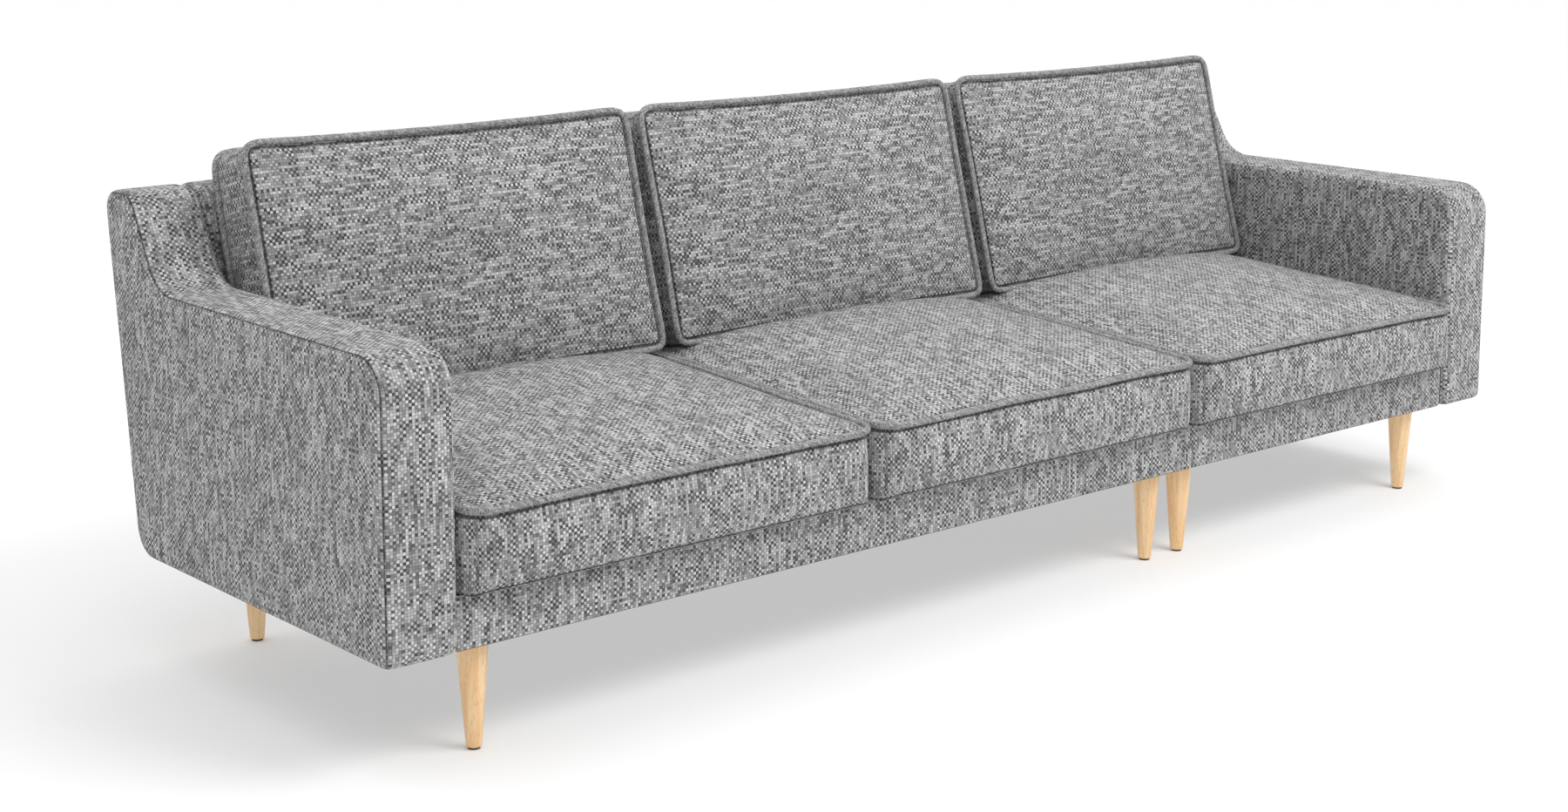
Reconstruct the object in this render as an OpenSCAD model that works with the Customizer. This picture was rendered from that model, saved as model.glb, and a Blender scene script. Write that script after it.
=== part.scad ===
/* [Overall] */
// Width of the whole sofa over both arms
overall_w = 2700; // [2500:10:2900]
// Thickness of one arm
arm_t = 132; // [115:1:150]
// Height of the arm's top above the floor
arm_h = 636; // [610:1:660]
// Height of the back frame's top above the floor
back_h = 786; // [770:1:800]
// Depth of the arm along its underside
body_d = 784; // [770:1:800]
// Backward lean of the sofa's rear face, in degrees
rear_rake = 7.5; // [6:0.5:9]

/* [Base] */
// Clear height under the base, which is the leg's visible length
leg_h = 176; // [160:1:190]
// Height of the seat deck above the floor
deck_h = 262; // [255:1:270]
// Distance of the base's front behind the arm's front
base_setback = 15; // [10:1:25]
// Radius of a leg where it meets the base
leg_top_r = 26; // [22:0.5:28]
// Radius of a leg just above its glide
leg_foot_r = 12.2; // [11:0.1:15]

/* [Cushions] */
// Distance that the seat cushions reach in front of the arms
seat_overhang = 28; // [15:1:35]
// Height of the seat cushion's welted front edge
seat_edge_h = 391; // [380:1:400]
// Height of the seat cushion's crown
seat_crown_h = 441; // [436:1:446]
// Lean of the back cushions, in degrees
rest_rake = 15.5; // [14:0.5:17]
// Thickness of a back cushion, measured level
rest_t = 119; // [110:1:125]
// Height of the back cushions' top above the floor
rest_h = 872; // [864:1:880]
// Width of one back cushion
rest_w = 786; // [760:1:790]

/* [Upholstery] */
// Thickness of the cover with its lining
cover_t = 3; // [2:0.5:4]
// Thickness of the foam on the arms and the back
foam_t = 22; // [16:1:26]
// Radius of the arm's front top corner
arm_nose_r = 62; // [50:1:70]
// Radius of the hollow between the arm's top and its riser
riser_hollow_r = 75; // [60:1:90]
// Forward slope of the riser's front, in degrees from upright
riser_lean = 29; // [26:1:32]

/* [Timber and fittings] */
// Thickness of the frame timber
rail_t = 25; // [22:1:28]
// Width of one strap of elastic webbing
strap_w = 60; // [50:1:70]
// Radius of the bolts' shanks
bolt_r = 4; // [3:0.5:5]
// Radius of the pins that join the two modules
pin_r = 7; // [6:0.5:8]
// Length of a joining pin beyond its module
pin_reach = 45; // [35:1:50]

/* [Hidden] */
HANDS = ["left", "right"];
LEG_PLACES = ["front_outer", "front_inner", "rear_outer", "rear_inner"];
PARTS = [
  "front_rail", "back_rail", "cross_rails", "corner_blocks", "seat_webbing", "deck_cloth",
  "dust_cover", "base_cover", "arm_frame", "arm_foam", "arm_cover", "back_frame",
  "back_webbing", "back_foam", "back_cover", "frame_bolts", "leg_inserts", "leg_bolts",
  "leg_glides"
];
SEATS = [1, 2, 3];

$fn = 48;
fabric_grey = [0.56, 0.56, 0.56];
foam_cream = [0.93, 0.89, 0.74];
timber_pine = [0.80, 0.66, 0.45];
leg_beech = [0.89, 0.72, 0.51];
strap_black = [0.13, 0.13, 0.14];
cloth_black = [0.09, 0.09, 0.10];
zinc_steel = [0.70, 0.71, 0.73];
glide_brown = [0.16, 0.12, 0.10];

seat_w = (overall_w - 2 * arm_t) / 3;
seam_gap = 0.5;
base_y = base_setback;
back_rail_y = body_d - 32;
arc_steps = 8;

// Heights inside the base, from the dust cover up to the deck cloth
dust_t = 1.5;
rail_z = leg_h + dust_t;
deck_t = 3;
strap_t = 2;
deck_z = deck_h - deck_t;
strap_z = deck_z - strap_t;
cross_strap_z = strap_z - strap_t - 0.2;
block_t = 35;
block_w = 85;
block_d = 70;

// Legs and their fastenings
outer_leg_x = arm_t + 61;
inner_leg_inset = 46;
front_leg_y = base_y + 53;
rear_leg_y = back_rail_y - 16;
glide_t = 3;
glide_r = 9.5;
leg_bolt_z = 136;
insert_r = 5.5;
insert_l = 12.5;

// Frame bolts
arm_bolt_z = deck_h - 22;
back_bolt_y = back_rail_y + rail_t / 2;
hex_r = 7.5;
hex_t = 5.3;
washer_r = 9;
washer_t = 1.6;
counterbore = 14.5;
bolt_clear = 0.2;

// Joining pins and their sockets
pin_z = leg_h + 39;
pin_ys = [200, 600];
flange_t = 3;
socket_r = 10;
socket_l = 50;
pin_clear = 0.3;

// Arm and back frames
skin_t = cover_t + foam_t;
panel_t = 12;
batten_w = 30;
post_w = 28;
back_strap_w = 50;
bay_z = deck_h + skin_t + 45;
bay_h = back_h - deck_h - 2 * skin_t - 90;

// Cushions
cushion_gap = 1.5;
lift_gap = 0.5;
rest_inset = 6;
rest_crown = 15;

function module_w(hand) = arm_t + (hand == "left" ? 2 : 1) * seat_w;
function seat_count(hand) = hand == "left" ? 2 : 1;

// Inside faces of the covers along X, at the arm and at the seam
inner_x0 = arm_t + cover_t;
function inner_x1(hand) = module_w(hand) - seam_gap - cover_t;

// Places along Y of the sloping rear face, the rest's face and the riser's front, at a height z
function rear_y(z) = body_d + (z - leg_h) * tan(rear_rake);
rest_top_y = rear_y(back_h) - 97;
function rest_y(z) = rest_top_y - (back_h - z) * tan(rest_rake);
riser_foot_y = rest_top_y - 83;
function riser_y(z) = riser_foot_y + (z - arm_h) * tan(riser_lean);

// The rear-most line of the rolled back edge, and the middle of the whole depth
back_roll_r = 30;
roll_z = back_h - back_roll_r / tan((90 - rear_rake) / 2) * cos(rear_rake);
rear_most_y = rear_y(roll_z) + back_roll_r * (1 - cos(rear_rake));
middle_y = (rear_most_y - seat_overhang) / 2;

// Outlines: corner points run anticlockwise, each with its own radius
function unit(v) = v / norm(v);
function before(points, i) = points[(i + len(points) - 1) % len(points)];
function after(points, i) = points[(i + 1) % len(points)];
function normal_of(a, b) = [a[1] - b[1], b[0] - a[0]] / norm(b - a);
function bend(a, b, c) = (b[0] - a[0]) * (c[1] - b[1]) - (b[1] - a[1]) * (c[0] - b[0]);
function shifted(a, b, c, d) =
  let (n = normal_of(a, b), m = normal_of(b, c))
  b + d * (n + m) / (1 + n * m);
function inset(points, d) =
  [for (i = [0:len(points) - 1]) shifted(before(points, i), points[i], after(points, i), d)];
function inset_radii(points, radii, d) = [
  for (i = [0:len(points) - 1])
    max(radii[i] - sign(bend(before(points, i), points[i], after(points, i))) * d, 1)
];
function short_turn(angle) = angle > 180 ? angle - 360 : angle < -180 ? angle + 360 : angle;
function corner(a, b, c, r) =
  let (
    u = unit(a - b),
    w = unit(c - b),
    half = acos(u * w) / 2,
    centre = b + unit(u + w) * r / sin(half),
    p = b + u * r / tan(half) - centre,
    q = b + w * r / tan(half) - centre,
    start = atan2(p[1], p[0]),
    sweep = short_turn(atan2(q[1], q[0]) - start)
  )
  [for (i = [0:arc_steps])
    centre + r * [cos(start + sweep * i / arc_steps), sin(start + sweep * i / arc_steps)]];
function rounded(points, radii) =
  [for (i = [0:len(points) - 1])
    each corner(before(points, i), points[i], after(points, i), radii[i])];
function outline(points, radii, d = 0) = rounded(inset(points, d), inset_radii(points, radii, d));

arm_points = [
  [0, leg_h], [body_d, leg_h], [rear_y(back_h), back_h],
  [riser_y(back_h), back_h], [riser_foot_y, arm_h], [0, arm_h]
];
arm_radii = [12, 40, 42, 45, riser_hollow_r, arm_nose_r];
back_points = [
  [rest_y(deck_h), deck_h], [rear_y(deck_h), deck_h], [rear_y(back_h), back_h],
  [rest_y(back_h), back_h]
];
back_radii = [8, 8, back_roll_r, back_roll_r];
seat_points = [
  [-seat_overhang, deck_h + lift_gap], [rest_y(deck_h) - 2, deck_h + lift_gap],
  [rest_y(deck_h) - 2, seat_crown_h], [300, seat_crown_h], [-seat_overhang, seat_edge_h]
];
seat_radii = [22, 20, 22, 300, 16];
rest_z = seat_crown_h + 1;
function rest_rear_y(z) = rest_y(z) - 1;
rest_mid_z = (rest_z + rest_h) / 2;
rest_points = [
  [rest_rear_y(rest_z) - rest_t, rest_z], [rest_rear_y(rest_z), rest_z],
  [rest_rear_y(rest_h), rest_h], [rest_rear_y(rest_h) - rest_t, rest_h],
  [rest_rear_y(rest_mid_z) - rest_t - rest_crown, rest_mid_z]
];
rest_radii = [18, 18, 26, 18, 500];

// An outline in the Y-Z plane, given a thickness along X
module slab(points, x0, x1) {
  translate([x0, 0, 0])
    rotate([90, 0, 90])
      linear_extrude(x1 - x0)
        polygon(points);
}

// The base's outline between two heights, drawn in by d at the front and the rear
function base_outline(d, z0, z1) = [
  [base_y + d, z0], [rear_y(z0) - d / cos(rear_rake), z0],
  [rear_y(z1) - d / cos(rear_rake), z1], [base_y + d, z1]
];

// Puts a module's part in the sofa: x runs from the arm's outer face to the seam
module placed(hand) {
  side = hand == "left" ? 1 : -1;
  translate([-side * overall_w / 2, -middle_y, 0])
    mirror([1 - side, 0, 0])
      children();
}

module along_x(x, y, z) {
  translate([x, y, z])
    rotate([0, 90, 0])
      children();
}

// Places of the fastenings within one module
function leg_xs(hand) = [outer_leg_x, module_w(hand) - inner_leg_inset];
leg_ys = [front_leg_y, rear_leg_y];
arm_bolt_ys = [160, 400, 640];
function back_bolt_xs(hand) =
  [for (i = [0:seat_count(hand)]) arm_t + 100 + i * (module_w(hand) - arm_t - 200) / seat_count(hand)];
module at_legs(hand) {
  for (x = leg_xs(hand))
    for (y = leg_ys)
      translate([x, y, 0]) children();
}
module arm_bolt_holes() {
  for (y = arm_bolt_ys)
    along_x(40, y, arm_bolt_z) cylinder(r = bolt_r + bolt_clear, h = arm_t + 40);
}
module back_bolt_holes(hand) {
  for (x = back_bolt_xs(hand))
    translate([x, back_bolt_y, rail_z - 5]) cylinder(r = bolt_r + bolt_clear, h = 142);
}
module seam_holes(hand) {
  for (y = pin_ys)
    along_x(module_w(hand) - 60, y, pin_z)
      cylinder(r = (hand == "left" ? pin_r : socket_r) + 0.05, h = 80);
}

module front_rail(hand) {
  color(timber_pine)
    translate([inner_x0, base_y + cover_t, rail_z])
      cube([inner_x1(hand) - inner_x0, rail_t, strap_z - rail_z]);
}
module back_rail(hand) {
  color(timber_pine)
    difference() {
      translate([inner_x0, back_rail_y, rail_z])
        cube([inner_x1(hand) - inner_x0, rail_t, strap_z - rail_z]);
      back_bolt_holes(hand);
      for (x = back_bolt_xs(hand))
        translate([x, back_bolt_y, rail_z - 1]) cylinder(r = washer_r + 1, h = counterbore + 1);
    }
}
module cross_rails(hand) {
  seam_x = inner_x1(hand) - rail_t;
  xs = hand == "left" ? [inner_x0, arm_t + seat_w - rail_t / 2, seam_x] : [inner_x0, seam_x];
  rail_y0 = base_y + cover_t + rail_t;
  color(timber_pine)
    difference() {
      for (x = xs)
        translate([x, rail_y0, rail_z])
          cube([rail_t, back_rail_y - rail_y0, cross_strap_z - rail_z]);
      arm_bolt_holes();
      seam_holes(hand);
    }
}
module corner_blocks(hand) {
  x0 = inner_x0 + rail_t;
  x1 = inner_x1(hand) - rail_t - block_w;
  y0 = base_y + cover_t + rail_t;
  color(timber_pine)
    difference() {
      for (x = [x0, x1])
        for (y = [y0, back_rail_y - block_d])
          translate([x, y, rail_z]) cube([block_w, block_d, block_t]);
      at_legs(hand) {
        translate([0, 0, rail_z - 1]) cylinder(r = bolt_r + 0.05, h = block_t + 2);
        translate([0, 0, rail_z + block_t - insert_l]) cylinder(r = insert_r, h = insert_l + 1);
      }
    }
}
module seat_webbing(hand) {
  long_w = inner_x1(hand) - inner_x0;
  long_count = 4 * seat_count(hand);
  long_pitch = long_w / long_count;
  cross_count = 5;
  rail_y0 = base_y + cover_t + rail_t;
  cross_pitch = (back_rail_y - rail_y0) / cross_count;
  color(strap_black) {
    for (i = [0:long_count - 1])
      translate([inner_x0 + (i + 0.5) * long_pitch - strap_w / 2, base_y + cover_t, strap_z])
        cube([strap_w, back_rail_y + 8 - base_y - cover_t, strap_t]);
    for (i = [0:cross_count - 1])
      translate([inner_x0, rail_y0 + (i + 0.5) * cross_pitch - strap_w / 2, cross_strap_z])
        cube([long_w, strap_w, strap_t]);
  }
}
module deck_cloth(hand) {
  color(cloth_black)
    difference() {
      slab(base_outline(cover_t, deck_z, deck_h), inner_x0, inner_x1(hand));
      back_bolt_holes(hand);
    }
}
module dust_cover(hand) {
  color(cloth_black)
    difference() {
      slab(base_outline(cover_t, leg_h, rail_z), inner_x0, inner_x1(hand));
      at_legs(hand) translate([0, 0, leg_h - 1]) cylinder(r = leg_top_r + 0.5, h = 5);
    }
}
module base_cover(hand) {
  color(fabric_grey)
    difference() {
      slab(base_outline(0, leg_h, deck_h), arm_t, module_w(hand) - seam_gap);
      slab(base_outline(cover_t, leg_h - 1, deck_h + 1), inner_x0, inner_x1(hand));
      arm_bolt_holes();
      seam_holes(hand);
    }
}

// The arm's block drawn in by d on every side, less the children
module arm_block_less(d) {
  difference() {
    slab(outline(arm_points, arm_radii, d), d, arm_t - d);
    children();
  }
}
module arm_frame(hand) {
  color(timber_pine)
    arm_block_less(skin_t) {
      slab(outline(arm_points, arm_radii, skin_t + batten_w), skin_t + panel_t,
        arm_t - skin_t - panel_t);
      translate([0, 150, leg_h + 120]) cube([arm_t, 380, 200]);
      arm_bolt_holes();
    }
}
module arm_foam(hand) {
  color(foam_cream)
    arm_block_less(cover_t) {
      slab(outline(arm_points, arm_radii, skin_t), skin_t, arm_t - skin_t);
      arm_bolt_holes();
    }
}
module arm_cover(hand) {
  color(fabric_grey)
    arm_block_less(0) {
      slab(outline(arm_points, arm_radii, cover_t), cover_t, arm_t - cover_t);
      arm_bolt_holes();
    }
}

// Where each bay between the back's posts begins
function bay_count(hand) = seat_count(hand) + 1;
function bay_pitch(hand) = (inner_x1(hand) - inner_x0 - post_w) / bay_count(hand);
function bay_xs(hand) =
  [for (i = [0:bay_count(hand) - 1]) inner_x0 + post_w + i * bay_pitch(hand)];
module back_frame(hand) {
  color(timber_pine)
    difference() {
      slab(outline(back_points, back_radii, skin_t), inner_x0, inner_x1(hand));
      for (x = bay_xs(hand))
        translate([x, 0, bay_z]) cube([bay_pitch(hand) - post_w, 2 * body_d, bay_h]);
      back_bolt_holes(hand);
    }
}
module back_webbing(hand) {
  rows = 4;
  face = skin_t / cos(rest_rake);
  color(strap_black)
    for (row = [0:rows - 1]) {
      low = bay_z + (row + 0.5) * bay_h / rows - back_strap_w / 2;
      high = low + back_strap_w;
      band = [
        [rest_y(low) + face, low], [rest_y(low) + face + strap_t, low],
        [rest_y(high) + face + strap_t, high], [rest_y(high) + face, high]
      ];
      for (x = bay_xs(hand))
        slab(band, x, x + bay_pitch(hand) - post_w);
    }
}
module back_foam(hand) {
  color(foam_cream)
    difference() {
      slab(outline(back_points, back_radii, cover_t), inner_x0, inner_x1(hand));
      slab(outline(back_points, back_radii, skin_t), inner_x0 - 1, inner_x1(hand) + 1);
      back_bolt_holes(hand);
    }
}
module back_cover(hand) {
  color(fabric_grey)
    difference() {
      slab(outline(back_points, back_radii), arm_t, module_w(hand) - seam_gap);
      slab(outline(back_points, back_radii, cover_t), inner_x0, inner_x1(hand));
      back_bolt_holes(hand);
    }
}

// A hexagon bolt with its washer, head at the origin and shank along +Z
module hex_bolt(length) {
  cylinder(r = hex_r, h = hex_t, $fn = 6);
  translate([0, 0, hex_t]) cylinder(r = washer_r, h = washer_t);
  translate([0, 0, hex_t]) cylinder(r = bolt_r, h = length);
}
module frame_bolts(hand) {
  head_x = inner_x0 + rail_t + washer_t + hex_t;
  nut_x = arm_t - skin_t - panel_t;
  color(zinc_steel) {
    for (y = arm_bolt_ys) {
      along_x(head_x, y, arm_bolt_z) mirror([0, 0, 1]) hex_bolt(head_x - nut_x);
      along_x(nut_x - hex_t, y, arm_bolt_z) cylinder(r = hex_r, h = hex_t, $fn = 6);
    }
    for (x = back_bolt_xs(hand))
      translate([x, back_bolt_y, rail_z + counterbore - washer_t - hex_t]) hex_bolt(118);
  }
}
module leg_inserts(hand) {
  top = rail_z + block_t;
  color(zinc_steel)
    difference() {
      at_legs(hand) {
        translate([0, 0, top - insert_l]) cylinder(r = insert_r, h = insert_l);
        translate([0, 0, top]) cylinder(r = 2 * insert_r, h = washer_t);
      }
      at_legs(hand) translate([0, 0, top - insert_l - 1])
        cylinder(r = bolt_r + 0.05, h = insert_l + washer_t + 2);
    }
}
module leg_bolts(hand) {
  color(zinc_steel)
    at_legs(hand) translate([0, 0, leg_bolt_z])
      cylinder(r = bolt_r, h = rail_z + block_t - leg_bolt_z);
}
module leg_glides(hand) {
  color(glide_brown)
    at_legs(hand) cylinder(r = glide_r, h = glide_t);
}
module leg(hand, x, y) {
  taper = (leg_top_r - leg_foot_r) / (rail_z - glide_t);
  ease = 2;
  color(leg_beech)
    translate([x, y, 0])
      difference() {
        rotate_extrude()
          polygon([
            [0, glide_t], [leg_foot_r - ease, glide_t],
            [leg_foot_r + taper * ease, glide_t + ease], [leg_top_r, rail_z], [0, rail_z]
          ]);
        translate([0, 0, leg_bolt_z - 2]) cylinder(r = bolt_r + 0.05, h = rail_z);
      }
}

module module_pins() {
  x1 = module_w("left");
  rail_x = x1 - seam_gap - cover_t - rail_t;
  color(zinc_steel)
    for (y = pin_ys) {
      along_x(rail_x - flange_t, y, pin_z) cylinder(r = 2 * pin_r, h = flange_t);
      along_x(rail_x - flange_t, y, pin_z) cylinder(r = pin_r, h = x1 - rail_x + flange_t + pin_reach);
    }
}
module module_sockets() {
  x1 = module_w("right") - seam_gap;
  rail_x = x1 - cover_t - rail_t;
  color(zinc_steel)
    for (y = pin_ys)
      difference() {
        union() {
          along_x(rail_x - flange_t, y, pin_z) cylinder(r = socket_r + 5, h = flange_t);
          along_x(x1 - socket_l, y, pin_z) cylinder(r = socket_r, h = socket_l);
        }
        along_x(x1 - socket_l - 1, y, pin_z) cylinder(r = pin_r + pin_clear, h = socket_l + 2);
      }
}

// Loose cushions: a cover with its filling, counted from the left
function seat_x(seat) = -overall_w / 2 + arm_t + (seat - 1) * seat_w;
module cushion_shell(points, radii, x0, x1) {
  color(fabric_grey)
    translate([0, -middle_y, 0])
      difference() {
        slab(outline(points, radii), x0, x1);
        slab(outline(points, radii, cover_t), x0 + cover_t, x1 - cover_t);
      }
}
module cushion_filling(points, radii, x0, x1) {
  color(foam_cream)
    translate([0, -middle_y, 0])
      slab(outline(points, radii, cover_t), x0 + cover_t, x1 - cover_t);
}
module seat_cover(seat) {
  cushion_shell(seat_points, seat_radii, seat_x(seat) + cushion_gap,
    seat_x(seat) + seat_w - cushion_gap);
}
module seat_core(seat) {
  cushion_filling(seat_points, seat_radii, seat_x(seat) + cushion_gap,
    seat_x(seat) + seat_w - cushion_gap);
}
function rest_x1(seat) = seat_x(seat) + seat_w - rest_inset;
module rest_cover(seat) {
  cushion_shell(rest_points, rest_radii, rest_x1(seat) - rest_w, rest_x1(seat));
}
module rest_core(seat) {
  cushion_filling(rest_points, rest_radii, rest_x1(seat) - rest_w, rest_x1(seat));
}

for (hand = HANDS)
  placed(hand) {
    front_rail(hand);
    back_rail(hand);
    cross_rails(hand);
    corner_blocks(hand);
    seat_webbing(hand);
    deck_cloth(hand);
    dust_cover(hand);
    base_cover(hand);
    arm_frame(hand);
    arm_foam(hand);
    arm_cover(hand);
    back_frame(hand);
    back_webbing(hand);
    back_foam(hand);
    back_cover(hand);
    frame_bolts(hand);
    leg_inserts(hand);
    leg_bolts(hand);
    leg_glides(hand);
    for (i = [0:3])
      leg(hand, leg_xs(hand)[i % 2], leg_ys[floor(i / 2)]);
  }
placed("left") module_pins();
placed("right") module_sockets();
for (seat = SEATS) {
  seat_cover(seat);
  seat_core(seat);
  rest_cover(seat);
  rest_core(seat);
}
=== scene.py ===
import bpy, bmesh, math
import numpy as np
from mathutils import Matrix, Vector, noise


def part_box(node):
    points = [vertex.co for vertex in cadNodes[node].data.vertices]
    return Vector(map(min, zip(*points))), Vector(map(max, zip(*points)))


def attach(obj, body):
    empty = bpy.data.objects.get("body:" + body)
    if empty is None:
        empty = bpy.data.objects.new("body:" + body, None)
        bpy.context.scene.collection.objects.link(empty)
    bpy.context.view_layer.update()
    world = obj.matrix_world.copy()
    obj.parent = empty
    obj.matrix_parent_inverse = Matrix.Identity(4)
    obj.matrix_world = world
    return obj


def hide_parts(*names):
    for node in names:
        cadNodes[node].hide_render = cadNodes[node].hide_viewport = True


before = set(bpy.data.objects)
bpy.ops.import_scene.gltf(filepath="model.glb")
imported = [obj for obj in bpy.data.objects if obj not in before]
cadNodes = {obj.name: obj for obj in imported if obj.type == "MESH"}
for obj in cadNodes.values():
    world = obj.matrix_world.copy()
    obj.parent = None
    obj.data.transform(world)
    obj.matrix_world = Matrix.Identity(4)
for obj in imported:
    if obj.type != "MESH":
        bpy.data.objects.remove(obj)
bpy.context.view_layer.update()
scene = bpy.context.scene

# Camera: in front of the left arm, a little above the back's height
cameraSettings = {
    "place": (-3.1383, -3.3921, 1.3752), "turn": 40.4715, "dip": 8.725,
    "lens": 57.229, "shift": -0.125,
}
bpy.ops.object.camera_add(location=cameraSettings["place"])
camera = bpy.context.object
camera.rotation_euler = (math.radians(90 - cameraSettings["dip"]), 0, -math.radians(cameraSettings["turn"]))
camera.data.lens = cameraSettings["lens"]
camera.data.shift_y = cameraSettings["shift"]
camera.data.clip_end = 100
scene.camera = camera
scene.view_settings.view_transform = "Standard"


def linearColour(hexText, alpha=1.0):
    parts = [int(hexText[i:i + 2], 16) / 255 for i in (1, 3, 5)]
    return [c / 12.92 if c <= 0.04045 else ((c + 0.055) / 1.055) ** 2.4 for c in parts] + [alpha]


def addNode(tree, kind, inputs=(), out=None, **settings):
    # Adds one node; inputs are values or sockets, in order or by name; gives back the output that is asked for
    node = tree.nodes.new("ShaderNode" + kind)
    for name, value in settings.items():
        setattr(node, name, value)
    sockets = [socket for socket in node.inputs if socket.enabled]
    named = {socket.name: socket for socket in reversed(sockets)}
    for key, value in inputs.items() if isinstance(inputs, dict) else enumerate(inputs):
        socket = named[key] if isinstance(key, str) else sockets[key]
        if isinstance(value, bpy.types.NodeSocket):
            tree.links.new(value, socket)
        else:
            socket.default_value = value
    outputs = [socket for socket in node.outputs if socket.enabled]
    return node.outputs[out] if out else outputs[0] if outputs else node


def newMaterial(name):
    material = bpy.data.materials.new(name)
    material.use_nodes = True
    material.node_tree.nodes.clear()
    return material, material.node_tree


# Chenille basket weave: light warp ends over charcoal weft, with streaks where the dark yarn thins.
# It gives a matt, salt-and-pepper surface with a real thread relief. The real threads are finer: they are drawn
# as coarse as they need to be to show. Lengths are in metres, and shares are of a yarn's tone.
weave = {
    "warpPitch": 0.0052, "weftPitch": 0.0048, "wander": 0.0014,
    "broadShare": 0.10, "slubShare": 0.66, "cellShare": 0.14, "threadShare": 0.6,
    # gap: the painted shade colour for the hollows between threads
    "light": "#CECECD", "middle": "#868686", "dark": "#424244", "gap": "#262627",
    "relief": 0.0009, "roughness": 0.93,
}


def wovenFabric(name, s):
    material, tree = newMaterial(name)
    coords = addNode(tree, "UVMap", uv_map="weaveMap")
    wander = addNode(tree, "TexNoise", {"Vector": coords, "Scale": 55.0, "Detail": 1.0}, "Color")
    wander = addNode(tree, "VectorMath", [wander, (0.5, 0.5, 0.5)], operation="SUBTRACT")
    place = addNode(tree, "VectorMath", [wander, (s["wander"],) * 3, coords], operation="MULTIPLY_ADD")
    cells = addNode(tree, "VectorMath", [place, (s["warpPitch"], s["weftPitch"], 1)], operation="DIVIDE")
    cellNumber = addNode(tree, "VectorMath", [cells], operation="FLOOR")
    inCell = addNode(tree, "VectorMath", [cells], operation="FRACTION")
    restOfCell = addNode(tree, "VectorMath", [(1, 1, 1), inCell], operation="SUBTRACT")
    humps = addNode(tree, "VectorMath", [inCell, restOfCell], operation="MULTIPLY")
    humps = addNode(tree, "VectorMath", [humps, (4, 4, 4)], operation="MULTIPLY")
    sharp = addNode(tree, "SeparateXYZ", [humps])
    sharpAcross, sharpAlong = sharp.node.outputs[0], sharp.node.outputs[1]
    roundAcross = addNode(tree, "Math", [sharpAcross, 0.35], operation="POWER")
    roundAlong = addNode(tree, "Math", [sharpAlong, 0.35], operation="POWER")
    warpFloat = addNode(tree, "Math", [sharpAcross, roundAlong], operation="MULTIPLY")
    weftFloat = addNode(tree, "Math", [roundAcross, sharpAlong], operation="MULTIPLY")
    counts = addNode(tree, "VectorMath", [cellNumber, (1, 1, 0)], "Value", operation="DOT_PRODUCT")
    underOver = addNode(tree, "Math", [counts, 2.0], operation="FLOORED_MODULO")
    hump = addNode(tree, "Mix", [underOver, warpFloat, weftFloat], data_type="FLOAT")

    # Each crossing has its own tone, and streaks run along the warp
    cellTone = addNode(tree, "TexWhiteNoise", [cellNumber], noise_dimensions="2D")
    broad = addNode(tree, "TexNoise", {"Vector": coords, "Scale": 28.0, "Detail": 2.0, "Roughness": 0.6})
    threadPlace = addNode(tree, "VectorMath", [cellNumber, (7.31, 0, 0)], operation="MULTIPLY")
    threadPlace = addNode(tree, "VectorMath", [coords, (0, 26.0, 0), threadPlace], operation="MULTIPLY_ADD")
    slub = addNode(tree, "TexNoise", {"Vector": threadPlace, "Scale": 1.0, "Detail": 1.0})
    streaks = addNode(tree, "Math", [broad, s["broadShare"]], operation="MULTIPLY")
    streaks = addNode(tree, "Math", [slub, s["slubShare"], streaks], operation="MULTIPLY_ADD")
    streaks = addNode(tree, "Math", [cellTone, s["cellShare"], streaks], operation="MULTIPLY_ADD")
    shown = addNode(tree, "MapRange", [streaks, 0.36, 0.56, 0.28, 1.0], interpolation_type="SMOOTHSTEP")
    darkShare = addNode(tree, "Math", [underOver, shown], operation="MULTIPLY")
    speck = addNode(tree, "MapRange", [cellTone, 0.84, 1.0, 0.0, 0.6])
    darkShare = addNode(tree, "Math", [darkShare, speck], operation="MAXIMUM")
    # One thread keeps its tone for about five crossings, and threads side by side change at different places
    streakRow = addNode(tree, "VectorMath", [cellNumber, (0.618, 0.2, 0)], "Value", operation="DOT_PRODUCT")
    streakRow = addNode(tree, "Math", [streakRow], operation="FLOOR")
    streakCell = addNode(tree, "CombineXYZ", [addNode(tree, "SeparateXYZ", [cellNumber]), streakRow, 0.0])
    streakTone = addNode(tree, "TexWhiteNoise", [streakCell], noise_dimensions="2D")
    toneShare = addNode(tree, "Mix", [s["threadShare"], cellTone, streakTone], data_type="FLOAT")
    toneShare = addNode(tree, "MapRange", [toneShare, 0.15, 0.85, 0.0, 1.0])
    light = addNode(tree, "Mix", [toneShare, linearColour(s["light"]), linearColour(s["middle"])], data_type="RGBA")
    yarn = addNode(tree, "Mix", [darkShare, light, linearColour(s["dark"])], data_type="RGBA")

    # Painted shade darkens the gaps between threads, and fibres and dye vary a little
    threadGapShade = addNode(tree, "MapRange", [hump, 0.02, 0.55, 0.62, 0.0], interpolation_type="SMOOTHSTEP")
    yarn = addNode(tree, "Mix", [threadGapShade, yarn, linearColour(s["gap"])], data_type="RGBA")
    fibres = addNode(tree, "TexNoise", {"Vector": coords, "Scale": 900.0, "Detail": 2.0})
    cloud = addNode(tree, "TexNoise", {"Vector": coords, "Scale": 7.0, "Detail": 2.0})
    fibreTone = addNode(tree, "MapRange", [fibres, 0.3, 0.7, 0.90, 1.08])
    cloudTone = addNode(tree, "MapRange", [cloud, 0.3, 0.7, 0.95, 1.05])
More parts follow.
